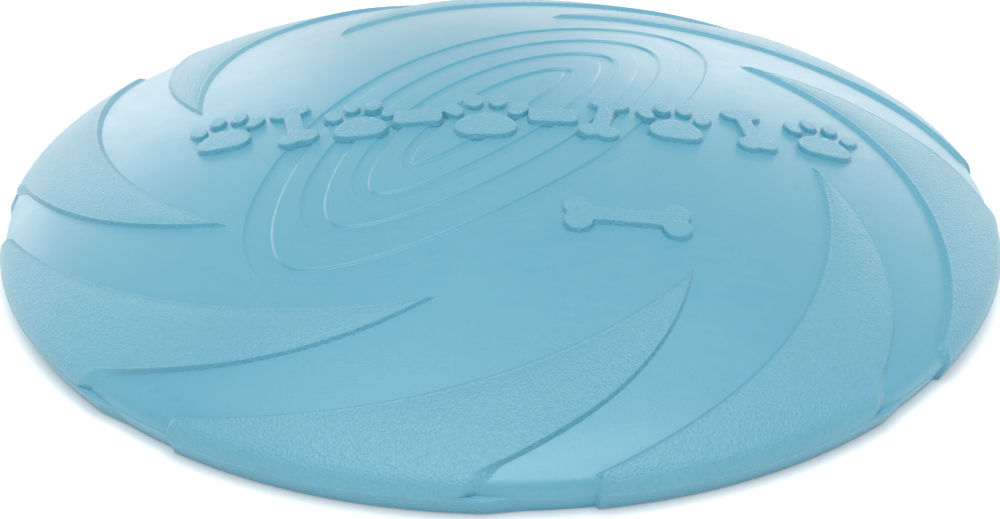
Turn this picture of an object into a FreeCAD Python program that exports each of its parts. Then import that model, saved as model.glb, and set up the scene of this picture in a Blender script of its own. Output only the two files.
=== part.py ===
import FreeCAD, Part
import math
import os

# Flying disc for a dog: one rubber moulding, kept here as its moulded features.
# Millimetres. Z up. The origin is the middle of the ring that the disc rests on.

Vector = FreeCAD.Vector
UP = Vector(0, 0, 1)
ORIGIN = Vector(0, 0, 0)

# --- the smooth skin of the disc ---------------------------------------------
RIM_RADIUS = 88.8          # widest place of the smooth skin, at the parting ridge
CROWN_HEIGHT = 25.4        # top of the dome above the table
CROWN_ARC = 222.0          # radius of the dome
CROWN_END = 80.0           # distance from the axis where the dome turns into the shoulder
EDGE_ARC = 3.2             # rounding of the edge, which ends upright at the parting ridge
PARTING_HEIGHT = 3.8       # the fine ridge where the mould halves met
PARTING_PROUD = 0.15
PARTING_HALF_WIDTH = 0.3
LOWER_BAND_TAPER = 1.8     # how far the lower band leans in, from the parting ridge down

# --- wall thicknesses ----------------------------------------------------------
PLATE_THICKNESS = 2.8
RIM_THICKNESS = 4.8

# --- cutting solids --------------------------------------------------------------
TALL = 2 * CROWN_HEIGHT    # higher than the whole disc
HOLLOW_OVERSHOOT = 1.0     # the hollow is cut from this far below the table
FULL_TURN = 360.0

# --- the raised blades ---------------------------------------------------------
BLADE_COUNT = 8
BLADE_RISE = 0.85
BLADE_TIP_RADIUS = 55.4
FIRST_TIP_ANGLE = 34.6     # degrees from +X
BLADE_BOTTOM = 0.3         # the blades stop just above the table
INNER_EDGE_ARC = 72.1      # the long edge of a blade, that faces the middle
INNER_EDGE_CENTRE = 27.0   # distance of that arc's centre from the axis
OUTER_EDGE_ARC = 52.4      # the short edge
OUTER_EDGE_CENTRE = 42.7
BLADE_STRAIGHT_FROM = 87.5 # from here out, down the side, both edges run straight
CUTTER_RADIUS = 95.0       # the blade outline closes out here, past the rim

# --- the nested ovals in the middle ----------------------------------------------
OVAL_CENTRE = Vector(-1.9, -1.6, 0)
OVAL_TILT = 53.7           # direction of the long axis, degrees from +X
OVAL_GROOVE_DEPTH = 0.35
SMALLEST_OVAL = (23.8, 5.8)     # half length and half width of the first groove
OVAL_STEP = (11.3, 6.95)        # how much each next groove is larger
GROOVE_WIDTHS = (1.2, 1.8, 2.6, 2.7)

# --- the raised motifs -------------------------------------------------------------
MOTIF_RISE = 0.85
ROW_MIDDLE_Y = -4.8
ROW_ARC = 310.0            # the row of motifs bends up towards both ends
PAW_SIZE = 14.6
PAW_PALM = (0.33, 0.26)         # half width and half height, as shares of the paw's size
PAW_PALM_DROP = 0.22
PAW_TOE = (0.16, 0.105)
PAW_TOE_PLACES = ((0.135, 0.33, 6.0), (0.35, 0.13, 24.0))   # across, up, outward lean
MIDDLE_PAW_SIZE = 16.5
BONE_LENGTH = 15.1
BONE_WIDTH = 7.4
BONE_KNOB_SHARE = 0.29          # knob radius and bar width, as shares of a bone's width
BONE_BAR_SHARE = 0.42
BONE_LEAN = 12.0           # the upright bones lean a little, degrees
UPRIGHT = 90.0             # turn of a long shape that stands across the row, degrees
DASH_LENGTH = 8.8
DASH_WIDTH = 5.1
SINGLE_BONE_CENTRE = Vector(21.0, -35.0, 0)
SINGLE_BONE_LENGTH = 21.5
SINGLE_BONE_WIDTH = 8.8
PAW_PLACES = (-49.0, -24.6, 30.8, 57.7)
MIDDLE_PAW_PLACE = -2.6
BONE_PLACES = (-36.6, 18.2, 44.2)
DASH_PLACES = (-14.6, 9.2)


def polar(radius, degrees, height=0.0):
    angle = math.radians(degrees)
    return Vector(radius * math.cos(angle), radius * math.sin(angle), height)


# --- solids of revolution ------------------------------------------------------------

def skin_arcs():
    """The skin's section is three arcs that run into each other: crown, shoulder and edge.
    Gives each arc's centre (distance from the axis, height) and radius, and the leans at
    which one hands over to the next. The shoulder is the one arc that touches the other two."""
    first_lean = math.asin(CROWN_END / CROWN_ARC)
    crown = ((0.0, CROWN_HEIGHT - CROWN_ARC), CROWN_ARC)
    edge = ((RIM_RADIUS - EDGE_ARC, PARTING_HEIGHT), EDGE_ARC)
    start = section_point(crown[0], CROWN_ARC, first_lean)
    to_edge = Vector(edge[0][0], 0, edge[0][1]) - start
    outward = Vector(math.sin(first_lean), 0, math.cos(first_lean))
    radius = (EDGE_ARC ** 2 - to_edge.Length ** 2) / (2 * (to_edge.dot(outward) + EDGE_ARC))
    middle = start - outward * radius
    shoulder = ((middle.x, middle.z), radius)
    second_lean = math.atan2(edge[0][0] - middle.x, edge[0][1] - middle.z)
    return crown, shoulder, edge, first_lean, second_lean


def section_point(centre, radius, lean):
    return Vector(centre[0] + radius * math.sin(lean), 0, centre[1] + radius * math.cos(lean))


def section_arc(centre, radius, start, end):
    points = [section_point(centre, radius, lean) for lean in (start, (start + end) / 2, end)]
    return Part.Arc(*points).toShape()


def polyline(points):
    return [Part.LineSegment(a, b).toShape() for a, b in zip(points, points[1:])]


def upper_skin(offset):
    """Edges of the crown and the shoulder, moved out by offset."""
    crown, shoulder, _, first_lean, second_lean = skin_arcs()
    return [
        section_arc(crown[0], crown[1] + offset, 0.0, first_lean),
        section_arc(shoulder[0], shoulder[1] + offset, first_lean, second_lean),
    ]


def dome(offset, bottom=0.0):
    """Everything inside the skin, with the skin moved out by offset."""
    _, _, edge, _, second_lean = skin_arcs()
    wall = RIM_RADIUS + offset
    radius = EDGE_ARC + offset
    ridge_lean = math.acos(PARTING_HALF_WIDTH / radius)
    taper = LOWER_BAND_TAPER / PARTING_HEIGHT
    edges = upper_skin(offset)
    edges.append(section_arc(edge[0], radius, second_lean, ridge_lean))
    edges += polyline([
        section_point(edge[0], radius, ridge_lean),
        Vector(wall + PARTING_PROUD, 0, PARTING_HEIGHT),
        Vector(wall - taper * PARTING_HALF_WIDTH, 0, PARTING_HEIGHT - PARTING_HALF_WIDTH),
        Vector(wall - taper * (PARTING_HEIGHT - bottom), 0, bottom),
        Vector(0, 0, bottom),
        Vector(0, 0, CROWN_HEIGHT + offset),
    ])
    return Part.Face(Part.Wire(edges)).revolve(ORIGIN, UP, FULL_TURN)


def hollow_dome():
    """The space under the plate: the crown and shoulder arcs, moved in."""
    _, shoulder, _, _, second_lean = skin_arcs()
    far = section_point(shoulder[0], shoulder[1] - PLATE_THICKNESS, second_lean)
    edges = upper_skin(-PLATE_THICKNESS) + polyline([
        far,
        Vector(far.x, 0, -HOLLOW_OVERSHOOT),
        Vector(0, 0, -HOLLOW_OVERSHOOT),
        Vector(0, 0, CROWN_HEIGHT - PLATE_THICKNESS),
    ])
    return Part.Face(Part.Wire(edges)).revolve(ORIGIN, UP, FULL_TURN)


def prism(wire):
    """A tall block with the given plan outline, which starts at height 0."""
    return Part.Face(wire).extrude(UP * TALL)


# --- blades ------------------------------------------------------------------------------

def law_of_cosines(a, b, opposite):
    """Angle in degrees between sides a and b of a triangle."""
    return math.degrees(math.acos((a * a + b * b - opposite * opposite) / (2 * a * b)))


def blade_edge(turn, arc, centre_distance):
    """One edge in plan, from the tip out: its curved and its straight part, and the angle
    where it ends."""
    tip = polar(BLADE_TIP_RADIUS, turn)
    centre_angle = turn - law_of_cosines(BLADE_TIP_RADIUS, centre_distance, arc)
    centre = polar(centre_distance, centre_angle)
    end_angle = centre_angle + law_of_cosines(BLADE_STRAIGHT_FROM, centre_distance, arc)
    bend = polar(BLADE_STRAIGHT_FROM, end_angle)
    outward = (tip + bend) / 2 - centre
    middle = centre + outward * (arc / outward.Length)
    curved = Part.Arc(tip, middle, bend).toShape()
    straight = Part.LineSegment(bend, polar(CUTTER_RADIUS, end_angle)).toShape()
    return curved, straight, end_angle


def blade_outline(turn):
    inner, inner_end, inner_angle = blade_edge(turn, INNER_EDGE_ARC, INNER_EDGE_CENTRE)
    outer, outer_end, outer_angle = blade_edge(turn, OUTER_EDGE_ARC, OUTER_EDGE_CENTRE)
    corners = [polar(CUTTER_RADIUS, angle)
               for angle in (outer_angle, (inner_angle + outer_angle) / 2, inner_angle)]
    outside = Part.Arc(*corners).toShape()
    return Part.Wire([outer, outer_end, outside, inner_end, inner])


def make_blades(body):
    skin = dome(BLADE_RISE, BLADE_BOTTOM).cut(body)
    return {
        "blade_%d" % (number + 1): skin.common(prism(blade_outline(
            FIRST_TIP_ANGLE + number * FULL_TURN / BLADE_COUNT)))
        for number in range(BLADE_COUNT)
    }


# --- nested ovals ------------------------------------------------------------------------

def oval(half_length, half_width):
    """A prism on an ellipse, turned and placed where the ovals are."""
    ellipse = Part.Ellipse(ORIGIN, half_length, half_width).toShape()
    solid = prism(Part.Wire(ellipse))
    solid.rotate(ORIGIN, UP, OVAL_TILT)
    solid.translate(OVAL_CENTRE)
    return solid


def groove_ovals():
    """For each groove, from the middle out: the oval inside it and the oval outside it."""
    pairs = []
    for number, width in enumerate(GROOVE_WIDTHS):
        half_length = SMALLEST_OVAL[0] + number * OVAL_STEP[0]
        half_width = SMALLEST_OVAL[1] + number * OVAL_STEP[1]
        inside = oval(half_length - width, half_width - width)
        pairs.append((inside, oval(half_length, half_width)))
    return pairs


def make_oval_ridges(body):
    """The raised ovals that stand between the grooves, level with the skin."""
    layer = body.cut(dome(-OVAL_GROOVE_DEPTH))
    ridges = {}
    hole = None
    for number, (inside, outside) in enumerate(groove_ovals()):
        ridge = layer.common(inside)
        if hole:
            ridge = ridge.cut(hole)
        ridges["oval_ridge_%d" % (number + 1)] = ridge
        hole = outside
    return ridges, layer.common(hole)


# --- motifs ------------------------------------------------------------------------------

def disc(x, y, radius):
    return prism(Part.Wire(Part.Circle(Vector(x, y, 0), UP, radius).toShape()))


def block(length, width):
    corner = Vector(-length / 2, -width / 2, 0)
    return Part.makeBox(length, width, TALL, corner)


def place(solid, centre, turn=0.0):
    solid.rotate(ORIGIN, UP, turn)
    solid.translate(centre)
    return solid


def pad(half_length, half_width, x, y, turn=0.0):
    """An ellipse, its long way turned by turn degrees from X."""
    solid = prism(Part.Wire(Part.Ellipse(ORIGIN, half_length, half_width).toShape()))
    return place(solid, Vector(x, y, 0), turn)


def paw(size):
    """A broad pad below, four toes in a fan above."""
    palm = pad(PAW_PALM[0] * size, PAW_PALM[1] * size, 0, -PAW_PALM_DROP * size)
    toes = [
        pad(PAW_TOE[0] * size, PAW_TOE[1] * size, side * across * size, up * size,
            UPRIGHT - side * fan)
        for side in (-1, 1)
        for across, up, fan in PAW_TOE_PLACES
    ]
    return Part.makeCompound([palm] + toes)


def bone(length, width):
    """A bar with two round knobs at each end, lying along X."""
    knob = width * BONE_KNOB_SHARE
    solid = block(length - 2 * knob, width * BONE_BAR_SHARE)
    for end in (-1, 1):
        for side in (-1, 1):
            centre_x = end * (length / 2 - knob)
            solid = solid.fuse(disc(centre_x, side * (width / 2 - knob), knob))
    return solid.removeSplitter()


def dash():
    half = DASH_WIDTH / 2
    solid = block(DASH_LENGTH - DASH_WIDTH, DASH_WIDTH)
    for end in (-1, 1):
        solid = solid.fuse(disc(end * (DASH_LENGTH / 2 - half), 0, half))
    return solid.removeSplitter()


def row_place(x):
    return Vector(x, ROW_MIDDLE_Y + x * x / (2 * ROW_ARC), 0)


def motif_prisms():
    """Name and upright prism of each motif."""
    prisms = {"middle_paw": place(paw(MIDDLE_PAW_SIZE), row_place(MIDDLE_PAW_PLACE))}
    for number, x in enumerate(PAW_PLACES):
        prisms["paw_%d" % (number + 1)] = place(paw(PAW_SIZE), row_place(x))
    for number, x in enumerate(BONE_PLACES):
        lean = UPRIGHT + BONE_LEAN * (-1) ** number
        solid = bone(BONE_LENGTH, BONE_WIDTH)
        prisms["bone_%d" % (number + 1)] = place(solid, row_place(x), lean)
    for number, x in enumerate(DASH_PLACES):
        prisms["dash_%d" % (number + 1)] = place(dash(), row_place(x))
    single = bone(SINGLE_BONE_LENGTH, SINGLE_BONE_WIDTH)
    prisms["single_bone"] = place(single, SINGLE_BONE_CENTRE)
    return prisms


def make_motifs(body, pocket, ridges):
    """Motifs stand on the skin and reach down to the floor of any groove under them."""
    top = dome(MOTIF_RISE)
    support = body.cut(pocket)
    for ridge in ridges.values():
        support = support.fuse(ridge)
    return {name: upright.common(top).cut(support) for name, upright in motif_prisms().items()}


# --- the disc ----------------------------------------------------------------------------

def make_parts():
    body = dome(0.0)
    ridges, pocket = make_oval_ridges(body)
    inner_radius = RIM_RADIUS - RIM_THICKNESS
    core = Part.makeCylinder(inner_radius, 2 * TALL, Vector(0, 0, -TALL))
    parts = {
        "flight_plate": body.cut(hollow_dome()).common(core).cut(pocket),
        "rim_ring": body.cut(core),
    }
    parts.update(ridges)
    parts.update(make_blades(body))
    parts.update(make_motifs(body, pocket, ridges))
    return parts


os.makedirs("parts", exist_ok=True)
for name, shape in make_parts().items():
    shape.exportStep("parts/%s.step" % name)
    box = shape.BoundBox
    print("%-14s solids %d valid %s volume %.1f  z %.2f to %.2f" % (
        name, len(shape.Solids), shape.isValid(), shape.Volume, box.ZMin, box.ZMax))
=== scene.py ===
"""Looks of the domed rubber flying disc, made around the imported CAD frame.

The meshes are worked out in millimetres, in the frame's own axes, and turned into metres
when they become objects. Every piece stands for one CAD node. Angles are in radians.
"""

import math

import bmesh
import bpy
import numpy as np
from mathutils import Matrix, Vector
from mathutils.geometry import delaunay_2d_cdt


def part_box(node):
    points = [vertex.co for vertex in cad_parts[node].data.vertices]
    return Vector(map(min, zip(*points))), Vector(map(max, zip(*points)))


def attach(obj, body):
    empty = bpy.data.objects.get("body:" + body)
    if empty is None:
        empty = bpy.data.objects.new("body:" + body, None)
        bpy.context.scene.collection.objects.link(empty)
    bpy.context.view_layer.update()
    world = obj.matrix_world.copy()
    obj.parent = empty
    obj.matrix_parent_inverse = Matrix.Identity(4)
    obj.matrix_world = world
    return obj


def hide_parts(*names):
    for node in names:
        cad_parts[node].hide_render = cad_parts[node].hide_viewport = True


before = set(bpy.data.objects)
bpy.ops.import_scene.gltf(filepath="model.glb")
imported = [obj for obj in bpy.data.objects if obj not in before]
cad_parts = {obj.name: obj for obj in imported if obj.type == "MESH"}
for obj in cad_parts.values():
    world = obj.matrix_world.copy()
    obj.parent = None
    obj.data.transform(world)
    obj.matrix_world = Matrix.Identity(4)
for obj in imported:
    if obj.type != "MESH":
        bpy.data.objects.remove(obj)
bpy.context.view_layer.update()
MM = 0.001


def node_box(node):
    """Lowest and highest corner of a CAD node, in millimetres."""
    low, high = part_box(node)
    return np.array(low) / MM, np.array(high) / MM


def node_middle(node):
    """Middle of a CAD node in plan, in millimetres."""
    low, high = node_box(node)
    return (low + high)[:2] / 2


# --- the skin: three arcs, a side wall and a lower band ----------------------------------
PARTING_PROUD = 0.15
PARTING_HEIGHT = 3.8
PARTING_HALF_WIDTH = 0.3
LOWER_BAND_TAPER = 1.8
RIM_RADIUS = node_box("rim_ring")[1][0] - PARTING_PROUD
PLATE_RADIUS = node_box("flight_plate")[1][0]
CROWN_HEIGHT = node_box("oval_ridge_1")[1][2]
CROWN_ARC = 222.0
CROWN_END = 80.0
EDGE_ARC = 3.2
PLATE_THICKNESS = 2.8

# the shoulder is the arc that touches both the crown's end and the edge's arc
CROWN_LEAN = math.asin(CROWN_END / CROWN_ARC)
CROWN_OUTWARD = np.array([math.sin(CROWN_LEAN), math.cos(CROWN_LEAN)])
CROWN_CENTRE = np.array([0.0, CROWN_HEIGHT - CROWN_ARC])
CROWN_LAST = CROWN_CENTRE + CROWN_ARC * CROWN_OUTWARD
EDGE_CENTRE = np.array([RIM_RADIUS - EDGE_ARC, PARTING_HEIGHT])
TO_EDGE = EDGE_CENTRE - CROWN_LAST
SHOULDER_ARC = (EDGE_ARC ** 2 - TO_EDGE @ TO_EDGE) / (2 * (TO_EDGE @ CROWN_OUTWARD + EDGE_ARC))
SHOULDER_CENTRE = CROWN_LAST - SHOULDER_ARC * CROWN_OUTWARD
SHOULDER_LEAN = math.atan2(*(EDGE_CENTRE - SHOULDER_CENTRE))
# distances from the axis along the skin, where one stretch hands over to the next
CROWN_RUN = CROWN_ARC * CROWN_LEAN
SHOULDER_RUN = CROWN_RUN + SHOULDER_ARC * (SHOULDER_LEAN - CROWN_LEAN)
EDGE_RUN = SHOULDER_RUN + EDGE_ARC * (math.pi / 2 - SHOULDER_LEAN)
SKIN_RUN = EDGE_RUN + PARTING_HEIGHT
# rows of a mesh round the edge and over the parting ridge
EDGE_ROWS = np.linspace(SHOULDER_RUN, EDGE_RUN - PARTING_HALF_WIDTH, 12)
PARTING_ROWS = EDGE_RUN + PARTING_HALF_WIDTH * np.array([-0.6, -0.3, 0, 0.3, 0.6, 1.0])

# --- blades -----------------------------------------------------------------------------
# The CAD blades are plain. The swell, the crowned middle, the lower edges, the sloping steps
# and the fold of the short edge are looks, and are only in these meshes. The folded edge ends
# several millimetres along the rim from where the CAD blade's edge does.
BLADE_COUNT = 8
BLADE_RISE = 0.85
BLADE_SWELL = 0.15         # how much higher a blade stands over its middle
BLADE_SWELL_RADIUS = 67.0
BLADE_SWELL_WIDTH = 8.0
INNER_EDGE_WIDTH = 0.75    # widths of the sloping steps along a blade's long and short edges
OUTER_EDGE_WIDTH = 0.50
EDGE_LIP = 0.08            # a fine lip along the top of the step, as a share of the rise
EDGE_LIP_WIDTH = 0.2       # as a share of the step's width
EDGE_SHARE = 0.62          # how high the edges stand beside the middle, inside the shoulder
CROWNED_ROOM = 6.0         # half width from which a blade's middle stands at its full height
CROWN_FLATNESS = 2.5       # 2 is a parabola across the blade, and more is flatter on top
STEPS_SHARE = 0.9          # how much of a narrow blade's half width its steps may take up
EDGE_RISES_FROM = 70.0     # the edges grow to full height between these two distances
EDGE_FULL_FROM = 86.0
OUTER_FOOT_HOLDS = 85.85   # from here out the short edge's foot turns straight down the side
OUTER_TOP_HOLDS = 86.5     # and from here its top does
OUTER_FOLD = math.radians(-2.5)   # how far it has turned at the parting line
OUTER_FLARE = math.radians(3.0)   # and how far the other way at the bottom
FOLD_REACH = 1.8           # how far above the rounded edge the fold begins
UPRIGHT_REACH = 3.0        # how far above it the long edge's step starts to turn upright
BLADE_TIP_RADIUS = 55.4
FIRST_TIP_ANGLE = math.radians(34.6)
BLADE_BOTTOM = node_box("blade_1")[0][2]
INNER_EDGE = (72.1, 27.0)  # arc radius, and its centre's distance from the axis
OUTER_EDGE = (52.4, 42.7)

# --- ovals and motifs ----------------------------------------------------------------------
OVAL_CENTRE = np.array([-1.9, -1.6])
OVAL_TILT = math.radians(53.7)
GROOVE_DEPTH = 0.33        # looks only: a little less than in the CAD ridges
# Half length and half width of the outer and of the inner wall of each groove. The CAD
# ridges are plain ellipses, up to about 2 mm from these outlines.
GROOVE_OUTER_WALLS = ((23.8, 5.8), (35.1, 12.2), (46.0, 19.1), (57.7, 26.6))
GROOVE_INNER_WALLS = ((22.4, 4.6), (32.6, 10.9), (42.6, 17.1), (54.3, 24.4))
OUTER_WALL_FORM = (1.94, -0.05)   # roundness, and how much the long ends bend sideways
INNER_WALL_FORM = (1.72, -0.03)
MOTIF_RISE = 0.85
PAW_SIZE = 14.6
MIDDLE_PAW_SIZE = 16.5
BONE = (15.1, 7.4)
SINGLE_BONE = (21.5, 8.8)
BONE_LEAN = math.radians(12.0)
DASH = (8.8, 5.1)

# forms of a sloping step: where its hollow foot ends and where its rounded top starts
SOFT_STEP = (0.3, 0.6)
BLADE_STEP = (0.12, 0.78)
MOTIF_STEP = (0.06, 0.5)
S_CURVE = (0.5, 0.5)
SUNK = 0.3                 # how far a raised piece reaches into what it stands on
TURN_STEPS = 720
TURNS = np.arange(TURN_STEPS) * 2 * math.pi / TURN_STEPS


# --- the shape of the skin ---------------------------------------------------------------

def skin(run, proud=0.0):
    """Distance from the axis and height, run millimetres down the skin from its top.
    A positive proud stands out from the skin."""
    run, proud = np.broadcast_arrays(np.asarray(run, float), np.asarray(proud, float))
    lean = np.interp(run, [0, CROWN_RUN, SHOULDER_RUN, EDGE_RUN],
                     [0, CROWN_LEAN, SHOULDER_LEAN, math.pi / 2])
    stretch = [run < CROWN_RUN, run < SHOULDER_RUN]
    arc = np.select(stretch, [CROWN_ARC, SHOULDER_ARC], EDGE_ARC)
    centre_out = np.select(stretch, [CROWN_CENTRE[0], SHOULDER_CENTRE[0]], EDGE_CENTRE[0])
    centre_up = np.select(stretch, [CROWN_CENTRE[1], SHOULDER_CENTRE[1]], EDGE_CENTRE[1])
    height = centre_up + (arc + proud) * np.cos(lean) - np.maximum(run - EDGE_RUN, 0)
    parting = np.clip(1 - np.abs(height - PARTING_HEIGHT) / PARTING_HALF_WIDTH, 0, 1)
    below = np.clip(1 - height / PARTING_HEIGHT, 0, 1)
    out = centre_out + (arc + proud) * np.sin(lean)
    return out + PARTING_PROUD * parting - LOWER_BAND_TAPER * below, height


def lean_at(radius):
    """Slope angle of the top, for distances from the axis short of the rounded edge."""
    on_crown = np.arcsin(np.minimum(radius, CROWN_END) / CROWN_ARC)
    on_shoulder = np.arcsin((np.maximum(radius, CROWN_END) - SHOULDER_CENTRE[0]) / SHOULDER_ARC)
    return np.where(radius < CROWN_END, on_crown, on_shoulder)


def run_at(radius):
    """Run down the skin to a distance from the axis short of the rounded edge."""
    lean = lean_at(np.asarray(radius, float))
    return np.where(lean < CROWN_LEAN, CROWN_ARC * lean,
                    CROWN_RUN + SHOULDER_ARC * (lean - CROWN_LEAN))


def on_top(plan, lift):
    """Points over plan positions, as high as puts them lift off the skin, square to it."""
    radius = np.linalg.norm(plan, axis=-1)
    height = skin(run_at(radius))[1] + lift / np.cos(lean_at(radius))
    return np.concatenate([plan, height[..., None]], axis=-1)


def around(radius, height):
    """A level circle about the axis. It starts where the ovals' outlines do."""
    turns = TURNS + OVAL_TILT
    return np.stack([radius * np.cos(turns), radius * np.sin(turns),
                     np.broadcast_to(height, np.shape(turns))], axis=-1)


def step(along, foot, top):
    """Height of a step, 0 to 1, over its sloping face: a hollow foot, then straight, and
    rounded from top onwards."""
    q = np.clip(along, 0, 1)
    slope = 1 / (foot / 2 + (top - foot) + (1 - top) / 2)
    low = slope * q ** 2 / (2 * foot)
    middle = slope * (q - foot / 2)
    high = 1 - slope * (1 - q) ** 2 / (2 * (1 - top))
    return np.where(q < foot, low, np.where(q < top, middle, high))


# --- meshes --------------------------------------------------------------------------------
SHARP_ANGLE = math.radians(55)
MERGE_DISTANCE = 1e-8      # in metres


def add_piece(name, points, faces, material, nodes):
    """A closed mesh as an object that rides on the root body and stands for its nodes."""
    mesh = bpy.data.meshes.new(name)
    mesh.from_pydata((points * MM).tolist(), [], [f.tolist() for group in faces for f in group])
    work = bmesh.new()
    work.from_mesh(mesh)
    bmesh.ops.remove_doubles(work, verts=work.verts, dist=MERGE_DISTANCE)
    bmesh.ops.recalc_face_normals(work, faces=work.faces)
    work.to_mesh(mesh)
    work.free()
    mesh.shade_smooth()
    mesh.set_sharp_from_angle(angle=SHARP_ANGLE)
    mesh.materials.append(material)
    piece = bpy.data.objects.new(name, mesh)
    bpy.context.scene.collection.objects.link(piece)
    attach(piece, "root")
    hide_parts(*nodes)


def strips(index):
    """Quads between neighbouring rows and columns of a grid of vertex numbers."""
    return np.stack([index[:-1, :-1], index[:-1, 1:], index[1:, 1:], index[1:, :-1]],
                    axis=-1).reshape(-1, 4)


def loft(loops, closes_on_itself):
    """Points and faces through a stack of closed loops. It closes on itself like a tyre,
    or its first and last loops are closed to a point in their middle."""
    rows, count = loops.shape[:2]
    index = np.arange(rows * count).reshape(rows, count)
    index = np.concatenate([index, index[:, :1]], axis=1)
    points = loops.reshape(-1, 3)
    if closes_on_itself:
        return points, [strips(np.concatenate([index, index[:1]]))]
    poles = np.stack([loops[0].mean(axis=0), loops[-1].mean(axis=0)])
    first, last = rows * count, rows * count + 1
    caps = [
        np.stack([index[0, :-1], index[0, 1:], np.full(count, first)], axis=-1),
        np.stack([index[-1, :-1], index[-1, 1:], np.full(count, last)], axis=-1),
    ]
    return np.concatenate([points, poles]), [strips(index)] + caps


def slab(top, bottom):
    """Points and faces of a closed solid between two grids of the same size."""
    rows, columns = top.shape[:2]
    upper = np.arange(rows * columns).reshape(rows, columns)
    lower = upper + rows * columns
    border = [(upper[0], lower[0]), (upper[-1], lower[-1]),
              (upper[:, 0], lower[:, 0]), (upper[:, -1], lower[:, -1])]
    faces = [strips(upper), strips(lower)] + [strips(np.stack(pair)) for pair in border]
    return np.concatenate([top.reshape(-1, 3), bottom.reshape(-1, 3)]), faces


# --- plan outlines -----------------------------------------------------------------------

def outward(outline):
    """Unit vectors square to a closed outline that runs anticlockwise, away from it."""
    along = np.roll(outline, -1, axis=0) - np.roll(outline, 1, axis=0)
    square = np.stack([along[:, 1], -along[:, 0]], axis=-1)
    return square / np.linalg.norm(square, axis=-1, keepdims=True)


def softened(outline, reach, count):
    """The outline with even spacing and with its corners rounded over about reach."""
    closed = np.concatenate([outline, outline[:1]])
    lengths = np.linalg.norm(np.diff(closed, axis=0), axis=-1)
    travel = np.concatenate([[0], np.cumsum(lengths)])
    even = np.arange(count) * travel[-1] / count
    track = np.interp(even, travel, closed[:, 0]) + 1j * np.interp(even, travel, closed[:, 1])
    waves = np.fft.fftfreq(count, travel[-1] / count)
    track = np.fft.ifft(np.fft.fft(track) * np.exp(-2 * (math.pi * waves * reach) ** 2))
    return np.stack([track.real, track.imag], axis=-1)


def turned(points, angle, centre):
    """Points turned anticlockwise about the origin and then moved to centre."""
    c, s = math.cos(angle), math.sin(angle)
    return points @ np.array([[c, s], [-s, c]]) + np.asarray(centre)


def oval(half_length, half_width, form):
    """One wall of an oval groove in plan. Its long ends are a little pointed and bent."""
    roundness, bend = form
    c, s = np.cos(TURNS), np.sin(TURNS)
    u = half_length * np.sign(c) * np.abs(c) ** (2 / roundness)
    v = half_width * np.sign(s) * np.abs(s) ** (2 / roundness)
    v = v + bend * half_width * (u / half_length) ** 3
    return turned(np.stack([u, v], axis=-1), OVAL_TILT, OVAL_CENTRE)


# --- the disc body ---------------------------------------------------------------------------
GROOVE_WALL = 0.5          # width of a groove's sloping wall
WALL_STEPS = np.array([0, 0.06, 0.13, 0.22, 0.34, 0.46, 0.58, 0.68, 0.77, 0.86, 0.94, 1.0])
WALL_LIFTS = -GROOVE_DEPTH * (1 - step(WALL_STEPS, *SOFT_STEP))
MIDDLE_SHARE = 0.02        # the loop next to a middle point, as a share of the outline's size
FLOOR_LOOPS = 16           # loops over the floor of the ovals' pocket, and over the rest of the top
SKIN_LOOPS = 38
FILLET_LOOPS = 9
OUTER_LOOPS, INNER_LOOPS = 40, 26   # over the underside, outside and inside UNDERSIDE_FINE
PLATE_FILLET = 3.5         # inside corner under the plate
UNDERSIDE_FINE = 12.0      # nearer the axis than this the underside's loops are closer together
UNDERSIDE_LAST = 0.4
CEILING_BLEND = 8          # power by which the ceiling comes down to meet the fillet
GATE_RADIUS, GATE_WALL, GATE_DEPTH = 2.2, 0.8, 0.5
RING_INSIDE, RING_OUTSIDE, RING_WALL, RING_HEIGHT = 8.2, 9.6, 0.7, 0.35


def make_plate(material):
    """The domed plate: groove floors, the wall round them, the skin, and the underside."""
    wall = oval(*GROOVE_OUTER_WALLS[-1], OUTER_WALL_FORM)
    away = outward(wall)
    loops = []
    for share in np.linspace(MIDDLE_SHARE, 1, FLOOR_LOOPS)[:-1]:
        floor = OVAL_CENTRE + (wall - OVAL_CENTRE) * share
        loops.append(on_top(floor, -GROOVE_DEPTH))
    for along, lift in zip(WALL_STEPS, WALL_LIFTS):
        loops.append(on_top(wall + away * GROOVE_WALL * along, lift))
    inner = wall + away * GROOVE_WALL
    outer = around(PLATE_RADIUS, 0)[:, :2]
    for share in np.linspace(0, 1, SKIN_LOOPS)[1:]:
        plan = inner + (outer - inner) * share
        radius = np.linalg.norm(plan, axis=-1, keepdims=True)
        plan = plan * np.minimum(PLATE_RADIUS / radius, 1)
        loops.append(on_top(plan, 0.0))
    loops += underside_loops()
    points, faces = loft(np.array(loops), False)
    add_piece("flight_plate_rubber", points, faces, material, ["flight_plate"])


def underside_loops():
    """From the rim inwards: a filleted corner, then the hollow dome with a faint raised
    ring and a moulding gate's mark in its middle."""
    start = PLATE_RADIUS - PLATE_FILLET
    ceiling = skin(run_at(start), -PLATE_THICKNESS)[1]
    sweep = math.pi / 2 - float(lean_at(start))
    loops = []
    for angle in np.linspace(0, sweep, FILLET_LOOPS):
        out = PLATE_RADIUS - PLATE_FILLET * (1 - math.cos(angle))
        up = PLATE_FILLET * (math.sin(angle) - math.sin(sweep))
        loops.append(around(out, ceiling + up))
    last = PLATE_RADIUS - PLATE_FILLET * (1 - math.cos(sweep))
    for radius in np.linspace(last, UNDERSIDE_FINE, OUTER_LOOPS)[1:]:
        loops.append(around(radius, underside_height(radius, last, ceiling)))
    for radius in np.linspace(UNDERSIDE_FINE, UNDERSIDE_LAST, INNER_LOOPS)[1:]:
        loops.append(around(radius, underside_height(radius, last, ceiling)))
    return loops


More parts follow.
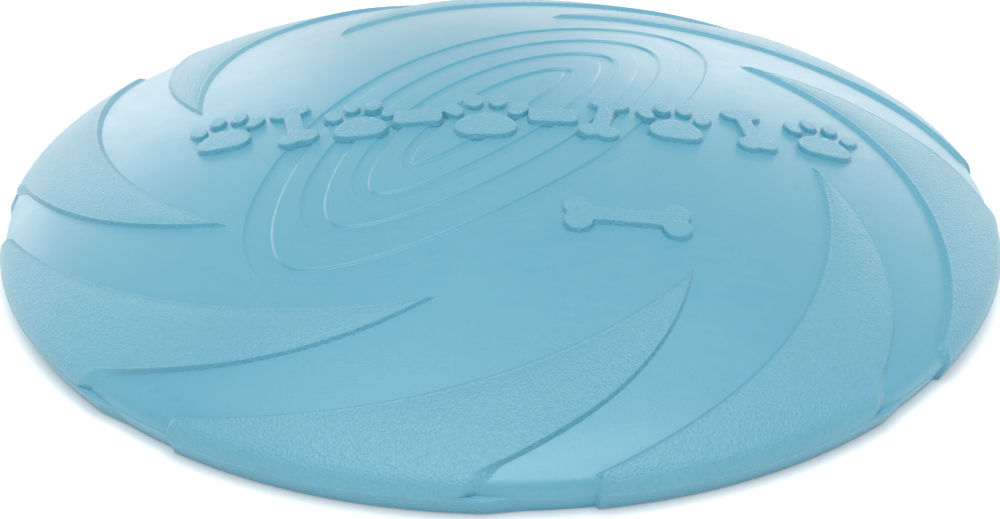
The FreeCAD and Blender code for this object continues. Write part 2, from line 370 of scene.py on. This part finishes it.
def underside_height(radius, last, ceiling):
    """Height of the hollow's ceiling, which meets the fillet at a height of ceiling, last
    millimetres from the axis."""
    gate = GATE_DEPTH * (step((radius - GATE_RADIUS) / GATE_WALL, *SOFT_STEP) - 1)
    ring = -RING_HEIGHT * (step((radius - RING_INSIDE) / RING_WALL, *SOFT_STEP)
                           - step((radius - RING_OUTSIDE) / RING_WALL, *SOFT_STEP))
    drop = skin(run_at(last), -PLATE_THICKNESS)[1] - ceiling
    height = skin(run_at(radius), -PLATE_THICKNESS)[1] - drop * (radius / last) ** CEILING_BLEND
    return float(height + gate + ring)


FOOT_ROUND = 0.5           # rounding of the two corners of the foot
FOOT_ROWS = 7


def make_rim(material):
    """The rim: shoulder, rounded edge, side wall with its parting ridge, and the flat foot."""
    runs = np.concatenate([
        np.linspace(run_at(PLATE_RADIUS), SHOULDER_RUN, 7)[:-1],
        EDGE_ROWS,
        PARTING_ROWS,
        EDGE_RUN + np.array([0.9, 1.8, 2.6]),
    ])
    outs, heights = skin(runs)
    corner_out = RIM_RADIUS - LOWER_BAND_TAPER * (1 - FOOT_ROUND / PARTING_HEIGHT)
    section = list(zip(outs, heights))
    for angle in np.linspace(0, math.pi / 2, FOOT_ROWS):
        section.append((corner_out - FOOT_ROUND * (1 - math.cos(angle)),
                        FOOT_ROUND * (1 - math.sin(angle))))
    for angle in np.linspace(0, math.pi / 2, FOOT_ROWS):
        section.append((PLATE_RADIUS + FOOT_ROUND * (1 - math.sin(angle)),
                        FOOT_ROUND * (1 - math.cos(angle))))
    inner_top = heights[0] - PLATE_THICKNESS
    section += [(PLATE_RADIUS, height) for height in np.linspace(FOOT_ROUND, inner_top, 6)[1:]]
    loops = np.array([around(out, height) for out, height in section])
    points, faces = loft(loops, True)
    add_piece("rim_ring_rubber", points, faces, material, ["rim_ring"])


def make_ridges(material):
    """The raised ovals between the grooves, level with the skin."""
    for number, size in enumerate(GROOVE_INNER_WALLS):
        outside = oval(*size, INNER_WALL_FORM)
        shrink = outside - outward(outside) * GROOVE_WALL
        rise = [on_top(outside, -GROOVE_DEPTH - SUNK)]
        rise += [on_top(outside - outward(outside) * GROOVE_WALL * along, lift)
                 for along, lift in zip(WALL_STEPS, WALL_LIFTS)]
        if number == 0:
            middle = [on_top(OVAL_CENTRE + (shrink - OVAL_CENTRE) * share, 0.0)
                      for share in np.linspace(1, MIDDLE_SHARE, 12)[1:]]
            loops, closes = rise + middle, False
        else:
            hole = oval(*GROOVE_OUTER_WALLS[number - 1], OUTER_WALL_FORM)
            grown = hole + outward(hole) * GROOVE_WALL
            middle = [on_top(shrink + (grown - shrink) * share, 0.0)
                      for share in np.linspace(0, 1, 10)[1:-1]]
            fall = [on_top(hole + outward(hole) * GROOVE_WALL * along, lift)
                    for along, lift in zip(WALL_STEPS[::-1], WALL_LIFTS[::-1])]
            fall.append(on_top(hole, -GROOVE_DEPTH - SUNK))
            loops, closes = rise + middle + fall, True
        points, faces = loft(np.array(loops), closes)
        node = "oval_ridge_%d" % (number + 1)
        add_piece(node + "_rubber", points, faces, material, [node])


# --- blades -------------------------------------------------------------------------------

def corner_angle(a, b, opposite):
    """Angle between sides a and b of a triangle."""
    return np.arccos(np.clip((a * a + b * b - opposite * opposite) / (2 * a * b), -1, 1))


def edge_turn(radius, edge, inset):
    """Angle from the blade's tip to its edge arc, at a distance from the axis. The arc is
    moved by inset."""
    arc, centre = edge
    return corner_angle(radius, centre, arc + inset) - corner_angle(BLADE_TIP_RADIUS, centre, arc)


MOST_ROOM = 20.0           # more than the half width of any blade
HALVINGS = 40
# a blade's rows crowd towards its tip, and its columns over an edge's step and just inside it
TIP_ROWS = np.array([0.06, 0.14, 0.24, 0.36, 0.5, 0.68, 0.9, 1.2, 1.6])
FIRST_EVEN_ROW, ROW_SPACING = 2.1, 0.5
EDGE_STEPS = np.array([0, 0.06, 0.13, 0.22, 0.35, 0.5, 0.62, 0.72, 0.81, 0.9, 1.0, 1.12, 1.28, 1.6])
BLADE_COLUMNS = 50


def blade_runs():
    """Runs down the skin of a blade's rows, from its tip to its bottom."""
    tip_run = float(run_at(BLADE_TIP_RADIUS))
    return np.concatenate([
        tip_run + TIP_ROWS,
        np.arange(tip_run + FIRST_EVEN_ROW, SHOULDER_RUN, ROW_SPACING),
        EDGE_ROWS,
        PARTING_ROWS,
        EDGE_RUN + np.array([0.7, 1.4, 2.1, 2.8]),
        [SKIN_RUN - BLADE_BOTTOM],
    ])


def long_edge_turn(runs, radius, inset):
    """Turns over the step of the long edge, which stands upright on the side wall."""
    on_wall = np.interp(runs, [SHOULDER_RUN - UPRIGHT_REACH, EDGE_RUN], [0, 1])[:, None]
    on_wall = on_wall * on_wall * (3 - 2 * on_wall)
    sloped = edge_turn(radius, INNER_EDGE, inset)
    upright = edge_turn(radius, INNER_EDGE, 0) + inset / radius
    return sloped + (upright - sloped) * on_wall


def short_edge_turn(runs, radius, inset):
    """Turns over the step of the short edge, which folds back over the rounded edge and
    flares out again below the parting line."""
    foot = edge_turn(np.minimum(radius, OUTER_FOOT_HOLDS), OUTER_EDGE, 0)
    top = edge_turn(np.minimum(radius, OUTER_TOP_HOLDS), OUTER_EDGE, -OUTER_EDGE_WIDTH)
    places = [SHOULDER_RUN - FOLD_REACH, EDGE_RUN - PARTING_HALF_WIDTH, EDGE_RUN, SKIN_RUN]
    fold = np.interp(runs, places, [0, OUTER_FOLD, OUTER_FLARE / 2, OUTER_FLARE])[:, None]
    foot, top = foot + fold, top + np.minimum(fold, 0)
    return foot + (top - foot) * inset / OUTER_EDGE_WIDTH


def edge_lift(along, edge_share):
    """Share of the rise over an edge's step: the sloping face and the lip along its top."""
    lip = EDGE_LIP * np.exp(-((along - 1) / EDGE_LIP_WIDTH) ** 2)
    return edge_share * (step(along, *BLADE_STEP) + lip)


def blade_grid():
    """Runs down the skin, turns from the tip and heights above the skin, for one blade. Its
    middle is crowned over lower edges, and the edges grow to full height near the rim."""
    runs = blade_runs()
    radius = skin(np.minimum(runs, SHOULDER_RUN))[0][:, None]
    room = STEPS_SHARE * half_room(radius)
    long_inset, short_inset = [
        np.minimum(width * EDGE_STEPS[-1], room) * EDGE_STEPS / EDGE_STEPS[-1]
        for width in (INNER_EDGE_WIDTH, OUTER_EDGE_WIDTH)]
    long_turn = long_edge_turn(runs, radius, long_inset)
    short_turn = short_edge_turn(runs, radius, short_inset)
    outward_share = (radius - EDGE_RISES_FROM) / (EDGE_FULL_FROM - EDGE_RISES_FROM)
    edge_share = EDGE_SHARE + (1 - EDGE_SHARE) * step(outward_share, *S_CURVE)
    long_lift = edge_lift(long_inset / INNER_EDGE_WIDTH, edge_share)
    short_lift = edge_lift(short_inset / OUTER_EDGE_WIDTH, edge_share)
    share = np.linspace(0, 1, BLADE_COLUMNS)[1:-1]
    between = long_turn[:, -1:] + (short_turn[:, -1:] - long_turn[:, -1:]) * share
    level = long_lift[:, -1:] + (short_lift[:, -1:] - long_lift[:, -1:]) * share
    crown = (1 - edge_share) * np.minimum(room / CROWNED_ROOM, 1)
    level = level + crown * (1 - np.abs(2 * share - 1) ** CROWN_FLATNESS)
    turn = np.concatenate([long_turn, between, short_turn[:, ::-1]], axis=1)
    lift = np.concatenate([long_lift, level, short_lift[:, ::-1]], axis=1)
    swell = 1 + BLADE_SWELL * np.exp(-((radius - BLADE_SWELL_RADIUS) / BLADE_SWELL_WIDTH) ** 2)
    return np.broadcast_to(runs[:, None], turn.shape), turn, lift * BLADE_RISE * swell


def half_room(radius):
    """How far the middle of a blade is from both its edges, found by halving."""
    low, high = np.zeros_like(radius), np.full_like(radius, MOST_ROOM)
    for _ in range(HALVINGS):
        middle = (low + high) / 2
        apart = edge_turn(radius, OUTER_EDGE, -middle) > edge_turn(radius, INNER_EDGE, middle)
        low, high = np.where(apart, middle, low), np.where(apart, high, middle)
    return low


def make_blades(material):
    run, turn, lift = blade_grid()
    for number in range(BLADE_COUNT):
        angle = FIRST_TIP_ANGLE + number * 2 * math.pi / BLADE_COUNT + turn
        sheets = []
        for proud in (lift, np.full_like(lift, -SUNK)):
            out, height = skin(run, proud)
            sheets.append(np.stack([out * np.cos(angle), out * np.sin(angle), height], axis=-1))
        points, faces = slab(*sheets)
        node = "blade_%d" % (number + 1)
        add_piece(node + "_rubber", points, faces, material, [node])


# --- motifs ---------------------------------------------------------------------------------
MOTIF_WALL_START = -0.15   # a motif's wall starts outside its outline
MOTIF_WALL_WIDTH = 0.42
CORNER_ROUND = 0.35        # reach over which a motif's corners are rounded
DASH_CORNER_ROUND = 0.9
OUTLINE_DENSITY = 9        # points for each millimetre of a motif's length plus width
FEWEST_OUTLINE_POINTS = 60
FILL_SPACING = 0.8
FILL_MARGIN = 0.7          # as a share of the spacing
# shares of a paw's size
PALM = (0.33, 0.26)        # half width and half height
PALM_DROP = 0.22
PALM_NARROWING = 0.16
PALM_LOBES = 0.10
TOE = (0.16, 0.105)
TOE_PLACES = ((0.135, 0.33, 0.105), (0.35, 0.13, 0.42))   # across, up, and outward lean
# shares of a bone's width
KNOB_RADIUS = 0.29
BAR_HALF_WIDTH = 0.21
KNOB_POINTS = 60


def ellipse(half_length, half_width, centre, angle):
    flat = np.stack([half_length * np.cos(TURNS), half_width * np.sin(TURNS)], axis=-1)
    return turned(flat, angle, centre)


def palm(size):
    """The big pad of a paw: broad below with two soft lobes, narrower above."""
    half_width, half_height = PALM[0] * size, PALM[1] * size
    across, up = np.cos(TURNS), np.sin(TURNS)
    narrowing = 1 - PALM_NARROWING * up
    lobes = PALM_LOBES * np.cos(3 * (TURNS + math.pi / 2)) * (up < 0) * up ** 2
    flat = np.stack([half_width * across * narrowing, half_height * (up + lobes)], axis=-1)
    return flat + np.array([0, -PALM_DROP * size])


def paw(size):
    """Outlines of a paw: its palm and four toes that fan out."""
    toes = [(side * across * size, up * size, math.pi / 2 - side * fan)
            for side in (-1, 1) for across, up, fan in TOE_PLACES]
    return [palm(size)] + [ellipse(TOE[0] * size, TOE[1] * size, (x, y), angle)
                           for x, y, angle in toes]


def bone(length, width):
    """A bar with two round knobs at each end, along X."""
    knob, bar = KNOB_RADIUS * width, BAR_HALF_WIDTH * width
    knob_x, knob_y = length / 2 - knob, width / 2 - knob
    notch = -math.asin(knob_y / knob)
    arc = np.linspace(math.pi, notch, KNOB_POINTS)
    quarter = np.stack([knob_x + knob * np.cos(arc), knob_y + knob * np.sin(arc)], axis=-1)
    quarter = np.concatenate([[[0, bar]], quarter])
    right = np.concatenate([quarter, (quarter * [1, -1])[::-1]])
    whole = np.concatenate([right, (right * [-1, 1])[::-1]])
    return [whole[::-1]]


def dash(length, width):
    """A short bar. Its corners are rounded later."""
    corners = np.array([[1, 1], [-1, 1], [-1, -1], [1, -1]]) * [length / 2, width / 2]
    return [corners]


def inside(outline, points, margin):
    """Which points lie in a closed outline, further than margin from its own points."""
    a, b = outline, np.roll(outline, -1, axis=0)
    x, y = points[:, :1], points[:, 1:]
    crosses = (a[:, 1] > y) != (b[:, 1] > y)
    rise = np.where(a[:, 1] == b[:, 1], 1.0, b[:, 1] - a[:, 1])
    crossings = crosses & (x < a[:, 0] + (y - a[:, 1]) * (b[:, 0] - a[:, 0]) / rise)
    near = np.linalg.norm(points[:, None] - outline[None], axis=-1).min(axis=1) < margin
    return (crossings.sum(axis=1) % 2 == 1) & ~near


def filled(outline, spacing):
    """Points spread inside an outline, and the triangles that fill it. The triangles count
    the outline's own points first."""
    axes = [np.arange(low, high, spacing) for low, high in zip(outline.min(0), outline.max(0))]
    grid = np.stack(np.meshgrid(*axes), axis=-1).reshape(-1, 2)
    grid = grid[inside(outline, grid, FILL_MARGIN * spacing)]
    given = np.concatenate([outline, grid])
    edges = [(i, (i + 1) % len(outline)) for i in range(len(outline))]
    found = delaunay_2d_cdt([Vector(p) for p in given], edges, [], 1, 1e-7)
    first_given = [sources[0] for sources in found[3]]
    return grid, np.array([[first_given[i] for i in face] for face in found[2]])


def motif_solid(outline, reach):
    """Points and faces of one raised shape with sloping walls and rounded top edges."""
    count = max(FEWEST_OUTLINE_POINTS, int(np.ptp(outline, axis=0).sum() * OUTLINE_DENSITY))
    outline = softened(outline, reach, count)
    if np.cross(outline, np.roll(outline, -1, axis=0)).sum() < 0:
        outline = outline[::-1]
    away = outward(outline)
    rings = [on_top(outline - away * MOTIF_WALL_START, -GROOVE_DEPTH - SUNK)]
    rings += [on_top(outline - away * (MOTIF_WALL_START + MOTIF_WALL_WIDTH * along), MOTIF_RISE * lift)
              for along, lift in zip(WALL_STEPS, step(WALL_STEPS, *MOTIF_STEP))]
    index = np.arange(len(rings) * count).reshape(len(rings), count)
    walls = strips(np.concatenate([index, index[:, :1]], axis=1))
    grid, triangles = filled(rings[-1][:, :2], FILL_SPACING)
    points = np.concatenate(rings + [on_top(grid, MOTIF_RISE), on_top(grid, -GROOVE_DEPTH - SUNK)])
    first_top, first_bottom = len(rings) * count, len(rings) * count + len(grid)
    top = np.where(triangles < count, triangles + (len(rings) - 1) * count,
                   triangles - count + first_top)
    bottom = np.where(triangles < count, triangles, triangles - count + first_bottom)
    return points, [walls, top, bottom]


def make_motif(node, outlines, angle, material, reach=CORNER_ROUND):
    """All the solids of one motif, turned and put where its CAD node is."""
    centre = node_middle(node)
    points, faces, count = [], [], 0
    for outline in outlines:
        more, groups = motif_solid(turned(outline, angle, centre), reach)
        faces += [group + count for group in groups]
        points.append(more)
        count += len(more)
    add_piece(node + "_rubber", np.concatenate(points), faces, material, [node])


def make_motifs(material):
    make_motif("middle_paw", paw(MIDDLE_PAW_SIZE), 0.0, material)
    for number in range(1, 5):
        make_motif("paw_%d" % number, paw(PAW_SIZE), 0.0, material)
    for number in range(1, 4):
        lean = math.pi / 2 - BONE_LEAN * (-1) ** number
        make_motif("bone_%d" % number, bone(*BONE), lean, material)
    for number in range(1, 3):
        make_motif("dash_%d" % number, dash(*DASH), 0.0, material, DASH_CORNER_ROUND)
    make_motif("single_bone", bone(*SINGLE_BONE), 0.0, material)


# --- materials ------------------------------------------------------------------------------

class Nodes:
    """A small helper that adds nodes to a material and joins them."""

    def __init__(self, name):
        self.material = bpy.data.materials.new(name)
        self.material.use_nodes = True
        self.tree = self.material.node_tree
        self.shader = self.tree.nodes["Principled BSDF"]
        self.place = self.add("ShaderNodeTexCoord").outputs["Object"]

    def add(self, kind, inputs=None, **settings):
        node = self.tree.nodes.new(kind)
        for key, value in settings.items():
            setattr(node, key, value)
        for key, value in (inputs or {}).items():
            if isinstance(value, bpy.types.NodeSocket):
                self.tree.links.new(value, node.inputs[key])
            else:
                node.inputs[key].default_value = value
        return node

    def set(self, key, value):
        if isinstance(value, bpy.types.NodeSocket):
            self.tree.links.new(value, self.shader.inputs[key])
        else:
            self.shader.inputs[key].default_value = value

    def noise(self, size_mm, detail=3.0, stretch=None, turn=0.0):
        """Noise from 0 to 1 with features about size_mm across, or stretched along a line."""
        place = self.place
        if stretch:
            place = self.add("ShaderNodeMapping", {
                "Vector": place, "Rotation": (0, 0, turn), "Scale": stretch}).outputs["Vector"]
        return self.add("ShaderNodeTexNoise", {
            "Vector": place, "Scale": 1 / (size_mm * MM), "Detail": detail,
        }).outputs["Fac"]

    def spread(self, value, low, high, new_low=0.0, new_high=1.0):
        """The stretch from low to high of a value, mapped to another stretch and clamped."""
        return self.add("ShaderNodeMapRange", {
            "Value": value, "From Min": low, "From Max": high,
            "To Min": new_low, "To Max": new_high}).outputs["Result"]

    def math(self, operation, a, b=0.0):
        return self.add("ShaderNodeMath", {0: a, 1: b}, operation=operation).outputs["Value"]

    def vector(self, operation, a, b=(0, 0, 0)):
        return self.add("ShaderNodeVectorMath", {0: a, 1: b}, operation=operation).outputs

    def mix(self, factor, a, b):
        node = self.add("ShaderNodeMix", data_type="RGBA")
        for socket, value in ((node.inputs[0], factor), (node.inputs[6], a), (node.inputs[7], b)):
            if isinstance(value, bpy.types.NodeSocket):
                self.tree.links.new(value, socket)
            else:
                socket.default_value = value
        return node.outputs[2]

    def bump(self, height, depth_mm, strength, under=None):
        inputs = {"Height": height, "Distance": depth_mm * MM, "Strength": strength}
        if under:
            inputs["Normal"] = under
        return self.add("ShaderNodeBump", inputs).outputs["Normal"]


# the rubber's two mottled blues, painted shade on its steep sides on the dome and on the band below
# the parting, and pale scuff marks with painted sheen
RUBBER_BLUE = (0.088, 0.362, 0.485, 1)
RUBBER_DEEP = (0.078, 0.342, 0.465, 1)
SIDES_PAINTED_SHADE = (0.071, 0.362, 0.498, 1)
BELOW_PAINTED_SHADE = (0.045, 0.320, 0.450, 1)
BLOOM = (0.46, 0.68, 0.80, 1)
SCUFF_AND_SHEEN = (0.66, 0.74, 0.80, 1)
SPECK = (0.11, 0.26, 0.30, 1)
SCUFFS_AND_SHEEN_FULL_FROM = 60.0    # SCUFFS_AND_SHEEN_FULL_FROM = 60.0 # the scuff marks, with painted sheen, come in along Y towards the back, from the middle of the disc to here
MOST_SCUFFS_AND_SHEEN = 0.18
SPECK_SPACING = 11.0
GRAIN_SIZE = 0.34
PEBBLE_SIZE = 0.45
DOME_FOOT = (8.5, 10.5)    # DOME_FOOT = (8.5, 10.5) # heights between which the painted shade on the steep sides comes in


def rubber(name, grained):
    """Sky blue rubber with a satin skin: pale bloom, pale scuff marks that grow towards the back
    as painted sheen, a few specks, painted shade as a purer blue on the steep sides of the
    relief and as a deeper one below the parting line, and a fine grain that is deeper and
    pebbled on the grained parts."""
    n = Nodes(name)
    colour = n.mix(n.spread(n.noise(38, 2), 0.35, 0.65), RUBBER_BLUE, RUBBER_DEEP)
    smear = n.math("MULTIPLY", n.spread(n.noise(60, 2), 0.25, 0.65, 0.3, 1.0),
                   n.spread(n.noise(1.6, 7, stretch=(0.25, 1, 1), turn=0.5), 0.30, 0.75))
    place = n.add("ShaderNodeSeparateXYZ", {"Vector": n.place}).outputs
    # pale scuff marks, partly real wear and partly painted sheen, made stronger towards the back of
    # the disc
    scuffs_and_sheen = n.spread(place["Y"], 0, SCUFFS_AND_SHEEN_FULL_FROM * MM, 0.03, MOST_SCUFFS_AND_SHEEN)
    colour = n.mix(n.math("MULTIPLY", smear, scuffs_and_sheen), colour, SCUFF_AND_SHEEN)
    cells = n.add("ShaderNodeTexVoronoi", {"Vector": n.place, "Scale": 1 / (SPECK_SPACING * MM)})
    spot = n.spread(cells.outputs["Distance"], 0.055, 0.025)
    rare = n.spread(n.add("ShaderNodeSeparateColor", {
        "Color": cells.outputs["Color"]}).outputs["Red"], 0.82, 0.84)
    colour = n.mix(n.math("MULTIPLY", n.math("MULTIPLY", spot, rare), 0.45), colour, SPECK)
    fine = n.noise(GRAIN_SIZE, 3)
    colour = n.mix(n.spread(fine, 0.35, 0.68, 0.0, 0.09 if grained else 0.045), colour, BLOOM)
    # painted shade: a purer, darker blue on faces that stand steep to the dome, such as the steps of
    # the blades, grooves and motifs
    crown_centre = (0, 0, (CROWN_HEIGHT - CROWN_ARC) * MM)
    outward = n.vector("NORMALIZE", n.vector("SUBTRACT", n.place, crown_centre)["Vector"])["Vector"]
    facing = n.vector("DOT_PRODUCT", n.add("ShaderNodeNewGeometry").outputs["Normal"], outward)
    steep = n.spread(n.math("ABSOLUTE", facing["Value"]), 0.94, 0.70, 0.0, 0.75)
    on_crown = n.spread(place["Z"], DOME_FOOT[0] * MM, DOME_FOOT[1] * MM)
    colour = n.mix(n.math("MULTIPLY", steep, on_crown), colour, SIDES_PAINTED_SHADE)
    # painted shade: a deeper blue on the band below the parting line, which faces down
    below = n.spread(place["Z"], (PARTING_HEIGHT + 0.1) * MM, (PARTING_HEIGHT - 0.2) * MM, 0.0, 0.6)
    colour = n.mix(below, colour, BELOW_PAINTED_SHADE)
    n.set("Base Color", colour)
    worn = n.math("ADD", n.math("MULTIPLY", n.noise(5, 6), 0.5), n.math("MULTIPLY", smear, 0.5))
    n.set("Roughness", n.spread(worn, 0.15, 0.7, 0.42 if grained else 0.32, 0.56))
    n.set("Specular IOR Level", 0.5)
    n.set("Coat Weight", 0.7)
    n.set("Coat Roughness", 0.42 if grained else 0.36)
    n.set("Sheen Weight", 0.2)
    n.set("Sheen Roughness", 0.35)
    wavy = n.bump(n.noise(9, 2), 0.05, 0.35)
    if grained:
        pebbles = n.add("ShaderNodeTexVoronoi", {
            "Vector": n.place, "Scale": 1 / (PEBBLE_SIZE * MM), "Smoothness": 0.5},
            feature="SMOOTH_F1").outputs["Distance"]
        rough = n.math("ADD", n.math("MULTIPLY", pebbles, 0.8), fine)
        skin_normal = n.bump(rough, 0.13, 1.0, wavy)
    else:
        skin_normal = n.bump(fine, 0.05, 0.8, wavy)
    n.set("Normal", skin_normal)
    n.set("Coat Normal", skin_normal)
    return n.material


# --- the studio -----------------------------------------------------------------------------

def make_floor():
    """A pale floor that glows faintly, so that it comes out near white."""
    n = Nodes("pale_floor")
    n.set("Base Color", n.mix(n.noise(120, 2), (0.90, 0.90, 0.90, 1), (0.93, 0.93, 0.93, 1)))
    n.set("Roughness", 0.9)
    n.set("Specular IOR Level", 0.1)
    n.set("Emission Color", (1, 1, 1, 1))
    n.set("Emission Strength", 0.17)
    mesh = bpy.data.meshes.new("floor")
    half = 4.0
    mesh.from_pydata([(-half, -half, 0), (half, -half, 0), (half, half, 0), (-half, half, 0)],
                     [], [(0, 1, 2, 3)])
    mesh.materials.append(n.material)
    floor = bpy.data.objects.new("floor", mesh)
    bpy.context.scene.collection.objects.link(floor)


def aim(thing, place, target):
    """Put a light or the camera at a place and turn it to look at the target."""
    thing.location = place
    thing.rotation_euler = (Vector(target) - Vector(place)).to_track_quat("-Z", "Y").to_euler()


def add_light(name, place, size, watts, colour=(1, 1, 1)):
    light = bpy.data.lights.new(name, "AREA")
    light.shape = "RECTANGLE"
    light.size, light.size_y = size
    light.energy = watts
    light.color = colour
    thing = bpy.data.objects.new(name, light)
    thing.visible_camera = False
    bpy.context.scene.collection.objects.link(thing)
    aim(thing, place, (0, 0, 0))


def make_studio():
    """A pale sky, two low softboxes behind the disc and a large one overhead."""
    world = bpy.data.worlds.new("studio")
    world.use_nodes = True
    background = world.node_tree.nodes["Background"]
    background.inputs["Color"].default_value = (1.0, 0.985, 0.985, 1)
    background.inputs["Strength"].default_value = 0.60
    bpy.context.scene.world = world
    bpy.context.scene.view_settings.view_transform = "Standard"
    add_light("left_softbox", (-0.66, 0.78, 0.17), (1.1, 0.3), 2.8, (1.0, 0.87, 0.84))
    add_light("right_softbox", (0.50, 0.88, 0.17), (0.9, 0.3), 2.0, (1.0, 0.86, 0.82))
    add_light("top_softbox", (0.0, -0.26, 1.1), (1.0, 1.0), 9.3)


def make_camera():
    """The camera stands in front of the disc and looks down on it."""
    distance, elevation = 0.4216, math.radians(29.10)
    target = Vector((-0.0001, -0.0107, 0.0))
    camera = bpy.data.objects.new("camera", bpy.data.cameras.new("camera"))
    camera.data.lens = 82.78
    camera.data.sensor_width = 36.0
    camera.data.clip_start = 0.01
    bpy.context.scene.collection.objects.link(camera)
    place = Vector((0, -math.cos(elevation), math.sin(elevation))) * distance
    aim(camera, place, target)
    bpy.context.scene.camera = camera


smooth = rubber("smooth_rubber", False)
grained = rubber("grained_rubber", True)
make_plate(smooth)
make_rim(smooth)
make_ridges(smooth)
make_blades(grained)
make_motifs(grained)
make_floor()
make_studio()
make_camera()
